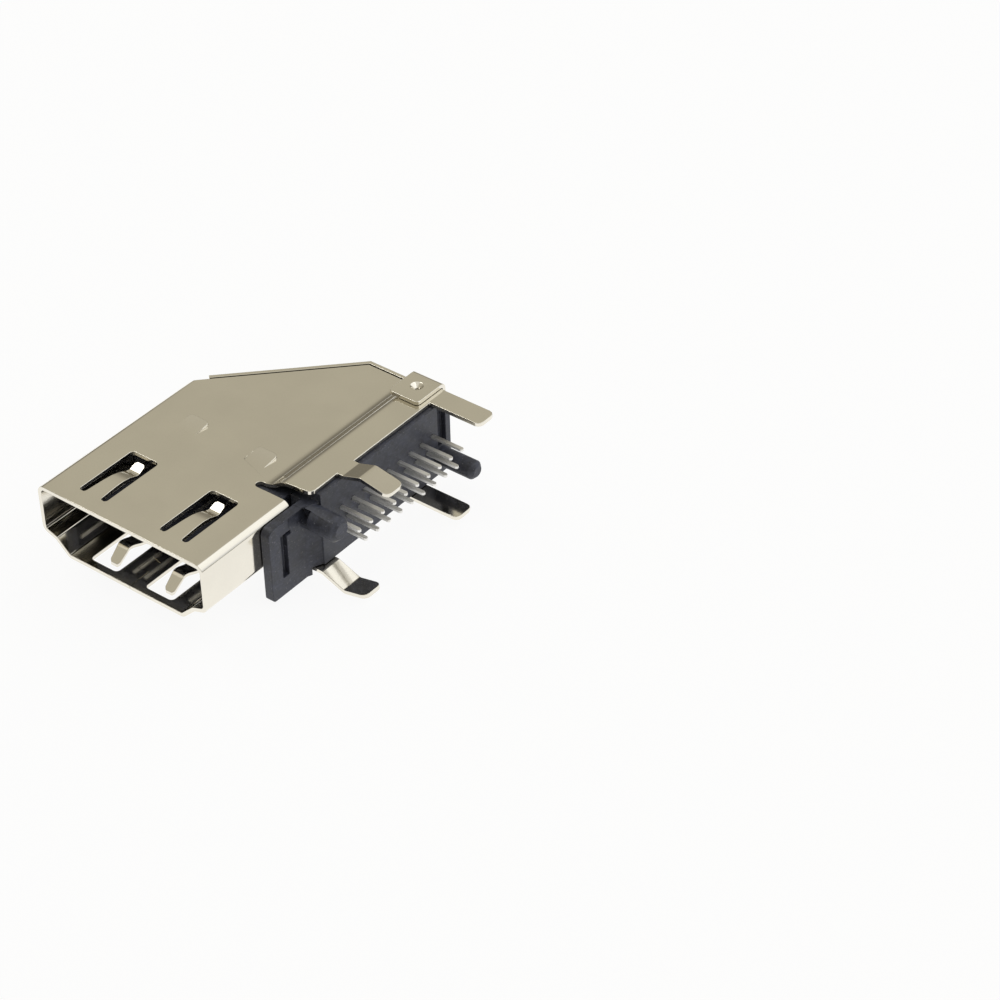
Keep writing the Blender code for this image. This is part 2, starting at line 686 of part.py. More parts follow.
def add_relief(bm, level):
    """Round-ended relief where a lip leaves the tube, right through the plate at height `level`."""
    radius = RELIEF_WIDTH / 2 + FIT / 2
    middle = TUBE_LENGTH + RELIEF_WIDTH / 2
    outline = [(JOGGLE_START + RELIEF_REACH, middle - radius)]
    for step in range(9):
        angle = math.pi * step / 8
        outline.append((JOGGLE_START - radius * math.sin(angle), middle - radius * math.cos(angle)))
    outline.append((JOGGLE_START + RELIEF_REACH, middle + radius))
    add_prism(bm, outline, level - THROUGH, level + THROUGH)


def add_clinch(bm):
    """Countersunk piercing in the middle of the tab."""
    middle = Vector(((TAB_LEFT + TAB_RIGHT) / 2, (TAB_FRONT + WALL_BACK) / 2, TAB_MID + HALF))
    rings = []
    for diameter, height in ((CLINCH_HOLE, -THROUGH), (CLINCH_HOLE, -CLINCH_DEPTH), (CLINCH_DIAMETER, 0),
                             (CLINCH_DIAMETER, SHEET)):
        angles = [math.radians(360 * step / 16) for step in range(16)]
        rings.append([middle + Vector((math.cos(a) * diameter / 2, math.sin(a) * diameter / 2, height))
                      for a in angles])
    add_loft(bm, rings)


def make_shell(material):
    """Shell: the folded surface with its sheet thickness, then its windows, slots and stops."""
    shell = mesh_object("shell", shell_surface(), material)
    thickness = shell.modifiers.new("sheet", "SOLIDIFY")
    thickness.thickness = SHEET
    thickness.offset = 0
    thickness.use_even_offset = True

    cuts = bmesh.new()
    for wide_side in (True, False):
        for centre in window_centres(wide_side):
            add_window(cuts, centre, wide_side)
    corner_x, corner_y = wall_point(fold_corner(), WALL_BEND)
    bisector = Vector((-math.sin(math.radians(22.5)), math.cos(math.radians(22.5))))
    add_slot(cuts, corner_x, corner_y, bisector)
    add_slot(cuts, SHELL_WIDTH - SLOT_INSET, WALL_MID, Vector((0, 1)))
    slit_x = JOGGLE_START + JOGGLE_LEAD + JOGGLE_RUN
    slit_end = BACK_FOLD - SHEET
    add_box(cuts, (slit_x - REAR_SLIT_WIDTH / 2, slit_end - REAR_SLIT_LENGTH, NARROW_LIP_MID - THROUGH),
            (slit_x + REAR_SLIT_WIDTH / 2, slit_end, SHEET + THROUGH))
    add_boolean(shell, helper_object("shell_cuts", cuts), "DIFFERENCE")

    seam = bmesh.new()
    path = seam_path()
    add_ribbon(seam, path, [SEAM_GAP] * len(path), -THROUGH, THROUGH)
    add_boolean(shell, helper_object("flap_seam", seam), "DIFFERENCE")

    reliefs = bmesh.new()
    for level in (HALF, WIDE_MID):
        add_relief(reliefs, level)
    add_boolean(shell, helper_object("lip_reliefs", reliefs), "DIFFERENCE")

    additions = bmesh.new()
    for wide_side in (True, False):
        for centre in window_centres(wide_side):
            add_finger(additions, centre, wide_side)
    for stop in stops():
        add_stop(additions, stop)
    add_boolean(shell, helper_object("shell_additions", additions), "UNION")

    recesses = bmesh.new()
    for stop in stops():
        add_stop_recess(recesses, stop)
    add_clinch(recesses)
    add_boolean(shell, helper_object("shell_recesses", recesses), "DIFFERENCE")
    return shell


def contact_path(index):
    """Plan path of one contact: along the tongue, then 45 degrees, then out to its tail."""
    x = MIDDLE + (index - (CONTACT_COUNT - 1) / 2) * CONTACT_PITCH
    last = WALL_BACK - LAST_TAIL_FROM_BACK
    pitch = (last - TUBE_LENGTH - FIRST_TAIL_SETBACK) / (CONTACT_COUNT - 1)
    tail_y = last - index * pitch
    run = min(DIAGONAL_RUN, tail_y - BULKHEAD - CONTACT_TURN)
    tip = BASE_OUTER + TAIL_LENGTH
    return [(x, CONTACT_FRONT), (x, tail_y - run), (x + run, tail_y), (tip - TAIL_TAPER, tail_y), (tip, tail_y)]


def contact_height(index):
    """Middle height of a contact, which lies in the upper or in the lower row."""
    return ROW_MIDDLE + (ROW_SPACING / 2 if index % 2 == 0 else -ROW_SPACING / 2)


def make_contact(index, material):
    """One flat contact with a tapered tail tip."""
    bm = bmesh.new()
    widths = [CONTACT_WIDTH] * 4 + [CONTACT_WIDTH / 2]
    height = contact_height(index)
    add_ribbon(bm, contact_path(index), widths, height - CONTACT_THICK / 2, height + CONTACT_THICK / 2)
    return mesh_object(f"contact_{index + 1:02d}", bm, material)


def channel_helper():
    """All the contacts, each fuller by the channel gap, as one cutter for the mouldings."""
    bm = bmesh.new()
    reach = CONTACT_THICK / 2 + CHANNEL_GAP
    for index in range(CONTACT_COUNT):
        path = contact_path(index)
        path[0] = (path[0][0], path[0][1] - CHANNEL_GAP)
        height = contact_height(index)
        add_ribbon(bm, path, [CONTACT_WIDTH + 2 * CHANNEL_GAP] * len(path), height - reach, height + reach)
    return helper_object("contact_channels", bm)


def make_housing(material, channels):
    """Contact housing: a body that fills the shell behind the mouth, and the tongue."""
    corners = mouth_corners(SHEET + FIT)
    bends = [WIDE_BEND] + [NARROW_BEND] * 6 + [WIDE_BEND]
    loop = [(x, z, bend) for (x, z), bend in zip(corners, bends)]
    start = (MIDDLE, corners[0][1], 0)
    outline = rounded_path([start] + loop + [start], 3)[:-1]
    bm = bmesh.new()
    add_prism(bm, outline, BULKHEAD, WALL_BACK, along_y)
    housing = mesh_object("contact_housing", bm, material)

    inset = HALF + WALL_BEND + FIT
    corner = WALL_BACK - inset - diagonal_limit(0, inset)
    plan = [(-SHEET, BULKHEAD - SHEET), (HOUSING_RIGHT, BULKHEAD - SHEET), (HOUSING_RIGHT, WALL_BACK - inset)]
    plan += [(corner, WALL_BACK - inset), (-SHEET, diagonal_limit(-SHEET, inset))]
    bm = bmesh.new()
    add_prism(bm, plan, -SHEET, SHELL_HEIGHT + SHEET)
    add_boolean(housing, helper_object("housing_plan", bm), "INTERSECT")

    bm = bmesh.new()
    half_width = (CONTACT_COUNT - 1) / 2 * CONTACT_PITCH + TONGUE_MARGIN
    half_thick = ROW_SPACING / 2 + CONTACT_THICK / 2 - CONTACT_PROUD
    chamfered = TONGUE_FRONT + TONGUE_CHAMFER
    outline = [(TONGUE_FRONT, ROW_MIDDLE - half_thick + TONGUE_CHAMFER), (chamfered, ROW_MIDDLE - half_thick)]
    outline += [(BULKHEAD + SHEET, ROW_MIDDLE - half_thick), (BULKHEAD + SHEET, ROW_MIDDLE + half_thick)]
    outline += [(chamfered, ROW_MIDDLE + half_thick), (TONGUE_FRONT, ROW_MIDDLE + half_thick - TONGUE_CHAMFER)]
    add_prism(bm, outline, MIDDLE - half_width, MIDDLE + half_width, along_x)
    add_boolean(housing, helper_object("tongue_block", bm), "UNION")

    add_boolean(housing, channels, "DIFFERENCE")
    return housing


def add_peg(bm, y, z, diameter, root, tip):
    """Round locating peg along X from `root` to `tip`, with a chamfered end."""
    radius = diameter / 2
    rings = []
    for x, r in ((root - SHEET, radius), (tip - PEG_CHAMFER, radius), (tip, radius - PEG_CHAMFER)):
        angles = [math.radians(360 * step / 28) for step in range(28)]
        rings.append([(x, y + r * math.cos(a), z + r * math.sin(a)) for a in angles])
    add_loft(bm, rings)


def base_core():
    """Tall core of the base plate between the lips, behind their front edges, with a chamfered rear toe."""
    front = TUBE_LENGTH + CORE_SETBACK
    outline = [(front, BASE_LOW), (BASE_BACK - BASE_CHAMFER, BASE_LOW), (BASE_BACK, BASE_LOW + BASE_CHAMFER)]
    outline += [(BASE_BACK, BASE_HIGH), (front, BASE_HIGH)]
    bm = bmesh.new()
    add_prism(bm, outline, BASE_INNER, BASE_OUTER, along_x)
    return bm


def base_shelf():
    """Low front of the base plate: a shelf between the lips, and the ramp from the flange to the core."""
    shelf = TUBE_LENGTH + SHELF_SETBACK
    ramp = TUBE_LENGTH + RAMP_SETBACK
    back = TUBE_LENGTH + CORE_SETBACK + SHEET
    inner, outer = FLANGE_INNER + FIT, BASE_OUTER - FIT
    outline = [(BASE_INNER, back), (BASE_INNER, shelf), (inner, shelf), (inner, ramp)]
    outline += [(FLANGE_OUTER - FIT, ramp), (outer, ramp + RAMP_LENGTH), (outer, back)]
    bm = bmesh.new()
    add_prism(bm, outline, BASE_LOW, FLANGE_TOP)
    return bm


def base_ramp():
    """Lower end of the ramp behind the flange, down to the flange's toe."""
    front = TUBE_LENGTH + RAMP_SETBACK
    back = NARROW_LIP_FRONT - 3 * FIT
    inner, outer = FLANGE_INNER + FIT, FLANGE_OUTER - FIT
    corner = outer + (BASE_OUTER - FIT - outer) * (back - front) / RAMP_LENGTH
    bm = bmesh.new()
    add_prism(bm, [(inner, front), (outer, front), (corner, back), (inner, back)], FIT - FLANGE_DROP, HALF)
    return bm


def base_flange():
    """Flange beside the tube, with a rounded upper corner and toe."""
    back = NARROW_LIP_FRONT - 2 * FIT
    top = FLANGE_TOP - FIT
    corners = [(back, -FLANGE_DROP, 0), (back, top, 0), (FLANGE_FRONT, top, FLANGE_CORNER)]
    corners += [(FLANGE_FRONT, -FLANGE_DROP, FLANGE_TOE), (back, -FLANGE_DROP, 0)]
    bm = bmesh.new()
    add_prism(bm, rounded_path(corners)[:-1], FLANGE_INNER, FLANGE_OUTER, along_x)
    return bm


def base_pegs():
    """The two locating pegs."""
    bm = bmesh.new()
    add_peg(bm, TUBE_LENGTH + FRONT_PEG_SETBACK, SHELL_HEIGHT - FRONT_PEG_DROP, FRONT_PEG_DIAMETER,
            FLANGE_OUTER, BASE_OUTER + FRONT_PEG_LENGTH)
    add_peg(bm, WALL_BACK - REAR_PEG_FROM_BACK, REAR_PEG_Z, REAR_PEG_DIAMETER, BASE_OUTER,
            BASE_OUTER + REAR_PEG_LENGTH)
    return bm


def base_grooves():
    """Hooked front groove, rear groove, and the sloping pocket in front of the front peg."""
    bm = bmesh.new()
    half = FRONT_GROOVE_WIDTH / 2
    middle = FLANGE_FRONT + FRONT_GROOVE_SETBACK
    top = SHELL_HEIGHT - FRONT_GROOVE_DROP
    outline = [(middle - half, FRONT_GROOVE_LOW), (middle + half, FRONT_GROOVE_LOW)]
    outline += [(middle + half, top - half), (middle + half + GROOVE_HOOK, top - half)]
    outline += [(middle + half + GROOVE_HOOK, top), (middle - half, top)]
    add_prism(bm, outline, FLANGE_OUTER - GROOVE_DEPTH, FLANGE_OUTER + SHEET, along_x)
    rear = BASE_BACK - REAR_GROOVE_INSET
    half = REAR_GROOVE_WIDTH / 2
    add_box(bm, (BASE_OUTER - GROOVE_DEPTH, rear - half, REAR_PEG_Z + REAR_PEG_DIAMETER / 2 + FIT),
            (BASE_OUTER + SHEET, rear + half, BASE_HIGH + SHEET))
    front = FLANGE_FRONT + POCKET_FRONT
    high = SHELL_HEIGHT - POCKET_TOP
    outline = [(BASE_OUTER, high), (FLANGE_OUTER - POCKET_DEPTH, high), (FLANGE_OUTER, high - POCKET_HEIGHT)]
    outline.append((BASE_OUTER, high - POCKET_HEIGHT))
    add_prism(bm, outline, front, front + POCKET_LENGTH, along_y)
    return bm


def make_base(material, channels):
    """Base plate: core, shelf, flange and pegs, less the grooves and the contacts' channels."""
    base = mesh_object("base_plate", base_core(), material)
    additions = {"base_shelf": base_shelf(), "base_ramp": base_ramp(), "base_flange": base_flange()}
    additions["base_pegs"] = base_pegs()
    for name, bm in additions.items():
        add_boolean(base, helper_object(name, bm), "UNION")
    add_boolean(base, helper_object("base_grooves", base_grooves()), "DIFFERENCE")
    add_boolean(base, channels, "DIFFERENCE")
    return base


def make_material(name, colour, metallic, roughness):
    """Principled material of one colour."""
    material = bpy.data.materials.new(name)
    material.use_nodes = True
    shader = material.node_tree.nodes["Principled BSDF"]
    shader.inputs["Base Color"].default_value = (*colour, 1)
    shader.inputs["Metallic"].default_value = metallic
    shader.inputs["Roughness"].default_value = roughness
    return material


def stand_on_ground(pieces):
    """Parent the pieces to an empty that puts the middle of their lowest face plane at the origin."""
    low = Vector((math.inf,) * 3)
    high = Vector((-math.inf,) * 3)
    for piece in pieces:
        for vertex in piece.data.vertices:
            low = Vector(map(min, low, vertex.co))
            high = Vector(map(max, high, vertex.co))
    frame = bpy.data.objects.new("socket_frame", None)
    bpy.context.scene.collection.objects.link(frame)
    frame.location = (-(low.x + high.x) / 2, -(low.y + high.y) / 2, -low.z)
    for piece in pieces:
        piece.parent = frame


def finish(pieces):
    """Apply the modifiers, remove the helpers, and shade each piece's rounded faces smooth."""
    graph = bpy.context.evaluated_depsgraph_get()
    meshes = [bpy.data.meshes.new_from_object(piece.evaluated_get(graph)) for piece in pieces]
    for piece, mesh in zip(pieces, meshes):
        piece.modifiers.clear()
        piece.data = mesh
        mesh.shade_smooth()
        mesh.set_sharp_from_angle(angle=math.radians(SMOOTH_DEGREES))
    for item in list(bpy.context.scene.objects):
        if item not in pieces:
            bpy.data.objects.remove(item, do_unlink=True)


def main():
    """Build every piece of the socket."""
    for item in list(bpy.data.objects):
        bpy.data.objects.remove(item, do_unlink=True)
    nickel = make_material("nickel_plate", (0.66, 0.62, 0.53), 1.0, 0.25)
    moulding = make_material("black_moulding", (0.045, 0.048, 0.055), 0.0, 0.5)
    spacer = make_material("black_base_moulding", (0.05, 0.053, 0.06), 0.0, 0.55)
    tin = make_material("tin_plate", (0.78, 0.77, 0.74), 1.0, 0.3)
    channels = channel_helper()
    pieces = [make_shell(nickel), make_housing(moulding, channels), make_base(spacer, channels)]
    pieces += [make_contact(index, tin) for index in range(CONTACT_COUNT)]
    finish(pieces)
    stand_on_ground(pieces)


if __name__ == "__main__":
    main()
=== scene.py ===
"""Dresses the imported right-angle video socket: plated shell, mouldings, contacts and a pale studio."""
import math

import bmesh
import bpy
import numpy as np
from bpy.props import FloatProperty, FloatVectorProperty, IntProperty, PointerProperty
from mathutils import Euler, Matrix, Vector


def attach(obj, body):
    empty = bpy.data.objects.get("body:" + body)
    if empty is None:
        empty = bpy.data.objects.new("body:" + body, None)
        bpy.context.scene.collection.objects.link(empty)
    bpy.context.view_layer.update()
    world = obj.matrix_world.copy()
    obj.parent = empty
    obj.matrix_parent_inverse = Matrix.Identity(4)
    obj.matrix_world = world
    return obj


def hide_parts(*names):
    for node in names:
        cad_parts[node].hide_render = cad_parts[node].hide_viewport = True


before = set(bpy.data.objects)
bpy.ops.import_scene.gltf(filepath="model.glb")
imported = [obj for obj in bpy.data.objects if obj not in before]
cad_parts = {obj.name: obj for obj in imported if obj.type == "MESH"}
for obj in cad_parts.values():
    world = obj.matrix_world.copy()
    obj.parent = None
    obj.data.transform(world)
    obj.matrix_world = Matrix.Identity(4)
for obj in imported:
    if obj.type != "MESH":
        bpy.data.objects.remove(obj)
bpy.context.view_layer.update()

bl_info = {
    "name": "Right-angle video socket",
    "version": (1, 0, 0),
    "blender": (4, 5, 0),
    "location": "3D View > Sidebar > Socket",
    "description": "Finishes for a folded shell socket with moulded inserts and two rows of contacts",
    "category": "Object",
}

MM = 0.001
PER_MM = 1000.0
CONTACTS = sorted(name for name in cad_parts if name.startswith("contact_") and name[-2:].isdigit())

# Places in millimetres and angles in degrees, in the frame's axes

MERGE = 0.0005
FLAT_ANGLE = 0.4
CREASE_ANGLE = 35.0

# Boxes, as two corners, whose edges stay sharp: round the tails' slots and along the flap's seam
TAIL_BOX = ((5.9, -2.5, 3.3), (6.1, 10.0, 5.0))
SEAM_BOX = ((-3.6, -11.8, 1.3), (-1.8, -3.6, 1.8))

# Half-sheared stops: their sizes, then the middle, front end, plate height and direction of each
WIDE_FACE = 6.56916
NARROW_FACE = 1.41916
STOP_HALF = 0.875
STOP_STRAIGHT = 1.31
STOP_LENGTH = 1.65
STOP_RISE = 0.22
STOP_SINK = 0.02
STOP_SLOPE = 0.33
STOP_MERGE = 0.004
STOP_SETTLE = 0.006
STOPS = ((-6.091, -1.9, WIDE_FACE, 1), (0.009, -1.9, WIDE_FACE, 1),
         (-5.541, -2.3, NARROW_FACE, -1), (0.409, -2.3, NARROW_FACE, -1))

CAMERA_PLACE = (105.026, -108.546, 119.893)
CAMERA_TURN = (51.886, 0.939, 37.589)
NEAR_FLOOR, FAR_FLOOR = 60.0, 250.0

# Area lights: name, azimuth, elevation, size and distance in metres, power and colour
LIGHT_TARGET = (0.0, 0.0, 0.003)
COOL = (0.93, 0.98, 1.08)
LIGHTS = (("right_softbox", 50.0, 42.0, 0.4, 0.5, 0.4, COOL),
          ("right_fill", 50.0, 42.0, 0.75, 0.5, 1.3, COOL),
          ("left_softbox", -86.0, 56.0, 0.18, 0.5, 0.4, (1.0, 1.0, 1.0)))

# Surround: place from straight down (0) to straight up (1), and the colour there
SURROUND = ((0.0, (0.95, 0.95, 0.93)), (0.48, (0.85, 0.84, 0.80)), (0.53, (0.20, 0.185, 0.155)),
            (0.62, (0.27, 0.25, 0.205)), (0.72, (0.52, 0.49, 0.41)), (0.80, (0.56, 0.53, 0.44)),
            (0.91, (0.60, 0.57, 0.49)), (0.97, (0.88, 0.87, 0.82)))


# Shader maths

class Wire:
    """One output socket, so that shader maths reads as arithmetic on values."""

    def __init__(self, finish, socket):
        self.finish = finish
        self.socket = socket

    def maths(self, operation, first, second):
        return self.finish.node("ShaderNodeMath", {"operation": operation}, {0: first, 1: second})

    def __add__(self, other):
        return self.maths("ADD", self, other)

    def __sub__(self, other):
        return self.maths("SUBTRACT", self, other)

    def __rsub__(self, other):
        return self.maths("SUBTRACT", other, self)

    def __mul__(self, other):
        return self.maths("MULTIPLY", self, other)

    __radd__ = __add__

    def between(self, low, high):
        """Smooth step of the value from 0 at `low` to 1 at `high`."""
        inputs = {"Value": self, "From Min": low, "From Max": high}
        return self.finish.node("ShaderNodeMapRange", {"interpolation_type": "SMOOTHSTEP"}, inputs)


class Finish:
    """A procedural material, or the world, whose nodes are added one by one."""

    def __init__(self, owner):
        owner.use_nodes = True
        self.tree = owner.node_tree
        self.tree.nodes.clear()

    def feed(self, socket, value):
        if isinstance(value, Wire):
            self.tree.links.new(value.socket, socket)
        elif isinstance(value, (tuple, list)) and len(value) == 3 and socket.type == "RGBA":
            socket.default_value = (*value, 1.0)
        else:
            socket.default_value = value

    def node(self, kind, settings=None, inputs=None, output=0):
        """Adds one node: its settings first, then its inputs by name or number."""
        item = self.tree.nodes.new(kind)
        for name, value in (settings or {}).items():
            if name == "stops":
                ramp = item.color_ramp
                while len(ramp.elements) < len(value):
                    ramp.elements.new(0.5)
                for element, (place, colour) in zip(ramp.elements, value):
                    element.position = place
                    element.color = (*colour, 1.0)
            else:
                setattr(item, name, value)
        for key, value in (inputs or {}).items():
            self.feed(item.inputs[key], value)
        return Wire(self, item.outputs[output]) if item.outputs else None

    def place(self, scale):
        """Object coordinates in millimetres, stretched by `scale` along each axis."""
        coordinates = self.node("ShaderNodeTexCoord", output="Object")
        stretch = tuple(PER_MM * share for share in scale)
        return self.node("ShaderNodeVectorMath", {"operation": "MULTIPLY"}, {0: coordinates, 1: stretch})

    def noise(self, scale, detail=2.0, rough=0.5):
        """Noise from 0 to 1, with `scale` features per millimetre along each axis."""
        inputs = {"Vector": self.place(scale), "Scale": 1.0, "Detail": detail, "Roughness": rough}
        return self.node("ShaderNodeTexNoise", inputs=inputs)

    def blend(self, share, first, second):
        """Colour that goes from `first` to `second` as `share` goes from 0 to 1."""
        inputs = {"Factor": share, 6: first, 7: second}
        return self.node("ShaderNodeMix", {"data_type": "RGBA"}, inputs, output=2)

    def bump(self, height, strength, distance):
        """Normals of a relief whose full `height` stands `distance` metres proud."""
        inputs = {"Height": height, "Strength": strength, "Distance": distance}
        return self.node("ShaderNodeBump", inputs=inputs)

    def surface(self, inputs):
        """Principled shader with these inputs, joined to the output."""
        shader = self.node("ShaderNodeBsdfPrincipled", inputs=inputs)
        self.node("ShaderNodeOutputMaterial", inputs={"Surface": shader})


def new_material(name):
    """Empty node material and its builder."""
    material = bpy.data.materials.new(name)
    return material, Finish(material)


def nickel_finish(settings):
    """Satin nickel plate: cloudy tint, rolling lines along Y, and fine mottled roughness."""
    material, finish = new_material("satin_nickel_plate")
    cloud = finish.noise((0.22, 0.22, 0.22), detail=3.0)
    grain = finish.noise((9.0, 9.0, 9.0), detail=3.0, rough=0.6)
    rolled = finish.noise((16.0, 0.5, 16.0), detail=2.0)
    pale = tuple(settings.colour)
    deep = tuple(share * settings.tarnish for share in pale)
    tint = finish.blend((cloud * 0.75 + grain * 0.25).between(0.35, 0.65), deep, pale)
    rough = settings.roughness + (grain - 0.5) * 0.05 + (rolled - 0.5) * 0.04 + (cloud - 0.5) * 0.05
    relief = finish.bump(rolled * 0.6 + grain * 0.4, settings.grain_depth, 0.004 * MM)
    finish.surface({"Base Color": tint, "Metallic": 1.0, "Roughness": rough, "Normal": relief})
    return material


def moulding_finish(name, settings, speck):
    """Glass-filled black moulding: cloudy grey skin, pale specks and a fine spark grain."""
    material, finish = new_material(name)
    cloud = finish.noise((1.2, 1.2, 1.2), detail=4.0, rough=0.65)
    fibre = finish.noise((6.0, 2.2, 6.0), detail=3.0, rough=0.7)
    grain = finish.noise((14.0, 14.0, 14.0), detail=2.0)
    dark = tuple(settings.colour)
    grey = tuple(min(1.0, share * settings.clouding) for share in dark)
    skin = finish.blend(cloud.between(0.3, 0.7) * 0.5 + fibre.between(0.4, 0.75) * 0.5, dark, grey)
    specks = finish.noise((7.0, 7.0, 7.0), detail=1.0).between(0.68, 0.76) * speck
    tint = finish.blend(specks, skin, tuple(settings.speck_colour))
    rough = settings.roughness + (cloud - 0.5) * 0.3 + (grain - 0.5) * 0.15
    relief = finish.bump(grain * 0.7 + fibre * 0.3, settings.grain_depth, 0.012 * MM)
    finish.surface({"Base Color": tint, "Metallic": 0.0, "Roughness": rough, "Normal": relief})
    return material


def tin_finish(settings):
    """Bright tin plate on the contacts, with drawn lines along X."""
    material, finish = new_material("bright_tin_plate")
    cloud = finish.noise((0.8, 0.8, 0.8), detail=3.0)
    drawn = finish.noise((0.8, 14.0, 14.0), detail=2.0)
    pale = tuple(settings.colour)
    deep = tuple(share * 0.86 for share in pale)
    tint = finish.blend(cloud.between(0.35, 0.65), deep, pale)
    rough = settings.roughness + (drawn - 0.5) * 0.12
    relief = finish.bump(drawn, 0.25, 0.004 * MM)
    finish.surface({"Base Color": tint, "Metallic": 1.0, "Roughness": rough, "Normal": relief})
    return material


def steepen_stops(bm):
    """Stands the stops' sloping sides upright, as shearing leaves them.

    A stop's surface stands c R v / L - s (1 - v / L) above its plate, where v is the distance from its
    front end, L its length, R its rise and s its sink at the front. So c, the climb, tells how far up
    the slope a vertex is, and the vertex moves outwards by the slope's width there. Vertices just
    above the plate are set down on it.
    """
    for middle, front, face, outwards in STOPS:
        for vert in bm.verts:
            across = vert.co.x * PER_MM - middle
            along = vert.co.y * PER_MM - front
            height = (vert.co.z * PER_MM - face) * outwards
            if abs(across) > STOP_HALF + 0.01 or not 0.05 < along < STOP_LENGTH + 0.01 or height < -0.001:
                continue
            climb = ((height + STOP_SINK) * STOP_LENGTH / along - STOP_SINK) / STOP_RISE
            inset = np.interp(climb, (0.02, 0.2, 0.78, 1.0), (0.0, 0.3, 0.65, 1.0)) * STOP_SLOPE
            if along < STOP_STRAIGHT:
                inset = STOP_HALF - abs(across)
            vert.co.x += math.copysign(inset * MM, across)
            if height < STOP_SETTLE:
                vert.co.z = face * MM


def in_box(point, low, high):
    """Whether a point lies between two corners, which are in millimetres."""
    return all(least * MM <= value <= most * MM for least, value, most in zip(low, point, high))


def rounded_copy(node, name, material, width, plain_box):
    """Copy of a CAD node with its triangles merged and its edges rounded off to `width`.

    Edges inside `plain_box` stay sharp, and so do edges beside a face too narrow for the rounding.
    """
    crease = math.radians(CREASE_ANGLE)
    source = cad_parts[node]
    mesh = bpy.data.meshes.new(name)
    bm = bmesh.new()
    bm.from_mesh(source.data)
    bmesh.ops.remove_doubles(bm, verts=bm.verts, dist=MERGE * MM)
    if node == "shell":
        steepen_stops(bm)
        bmesh.ops.remove_doubles(bm, verts=bm.verts, dist=STOP_MERGE * MM)
    bmesh.ops.dissolve_limit(bm, angle_limit=math.radians(FLAT_ANGLE), verts=bm.verts, edges=bm.edges)
    weights = bm.edges.layers.float.new("bevel_weight_edge")
    for edge in bm.edges:
        sharp = len(edge.link_faces) == 2 and edge.calc_face_angle() > crease
        room = sharp and min(face.calc_area() for face in edge.link_faces) > 2 * width * edge.calc_length()
        inside = all(in_box(vert.co, *plain_box) for vert in edge.verts)
        edge[weights] = 1.0 if room and not inside else 0.0
    bm.to_mesh(mesh)
    bm.free()
    mesh.materials.clear()
    mesh.materials.append(material)
    piece = bpy.data.objects.new(name, mesh)
    bpy.context.scene.collection.objects.link(piece)
    bevel = piece.modifiers.new("rounded_edges", "BEVEL")
    bevel.width = width
    bevel.segments = 2
    bevel.limit_method = "WEIGHT"
    bevel.harden_normals = True
    bevel.use_clamp_overlap = False
    weighted = piece.modifiers.new("flat_faces", "WEIGHTED_NORMAL")
    weighted.mode = "FACE_AREA"
    weighted.keep_sharp = True
    mesh.shade_smooth()
    mesh.set_sharp_from_angle(angle=crease)
    return piece


def grid_mesh(name, points, material):
    """Mesh of a (rows, columns, 3) array of points, as quads between neighbours."""
    rows, columns, _ = points.shape
    corner = np.arange(rows * columns).reshape(rows, columns)
    quads = np.stack([corner[:-1, :-1], corner[:-1, 1:], corner[1:, 1:], corner[1:, :-1]], axis=-1)
    mesh = bpy.data.meshes.new(name)
    mesh.from_pydata(points.reshape(-1, 3).tolist(), [], quads.reshape(-1, 4).tolist())
    mesh.materials.append(material)
    piece = bpy.data.objects.new(name, mesh)
    bpy.context.scene.collection.objects.link(piece)
    return piece


# Settings

class ShellSettings(bpy.types.PropertyGroup):
    """Sizes and finish of the plated shell."""

    colour: FloatVectorProperty(name="Plate colour", description="Tint of clean nickel plate",
                                subtype="COLOR", default=(0.74, 0.705, 0.62), min=0.0, max=1.0)
    tarnish: FloatProperty(name="Cloud depth", description="Share of the tint that the darker clouds keep",
                           default=0.95, min=0.5, max=1.0)
    roughness: FloatProperty(name="Roughness", description="Middle roughness of the plate", default=0.1,
                             min=0.0, max=1.0)
    grain_depth: FloatProperty(name="Grain", description="Strength of the rolling lines", default=0.3,
                               min=0.0, max=1.0)
    edge: FloatProperty(name="Edge rounding", description="Width of the rounding on each sheet edge",
                        default=0.035 * MM, min=0.0, subtype="DISTANCE", unit="LENGTH", precision=6)


class MouldingSettings(bpy.types.PropertyGroup):
    """Finish of the two black mouldings."""

    colour: FloatVectorProperty(name="Moulding colour", description="Darkest tint of the moulded skin",
                                subtype="COLOR", default=(0.012, 0.0132, 0.0195), min=0.0, max=1.0)
    speck_colour: FloatVectorProperty(name="Speck colour", description="Tint of the pale specks",
                                      subtype="COLOR", default=(0.16, 0.16, 0.18), min=0.0, max=1.0)
    clouding: FloatProperty(name="Clouding", description="Brightness of the pale clouds, in darkest tints",
                            default=4.2, min=1.0)
    roughness: FloatProperty(name="Roughness", description="Middle roughness of the skin", default=0.52,
                             min=0.0, max=1.0)
    grain_depth: FloatProperty(name="Grain", description="Strength of the spark grain", default=0.5,
                               min=0.0, max=1.0)
    edge: FloatProperty(name="Edge rounding", description="Width of the rounding on each moulded edge",
                        default=0.05 * MM, min=0.0, subtype="DISTANCE", unit="LENGTH", precision=6)


class ContactSettings(bpy.types.PropertyGroup):
    """Finish of the contacts."""

    colour: FloatVectorProperty(name="Tin colour", description="Tint of bright tin plate", subtype="COLOR",
                                default=(0.80, 0.79, 0.76), min=0.0, max=1.0)
    roughness: FloatProperty(name="Roughness", description="Middle roughness of the tin", default=0.42,
                             min=0.0, max=1.0)


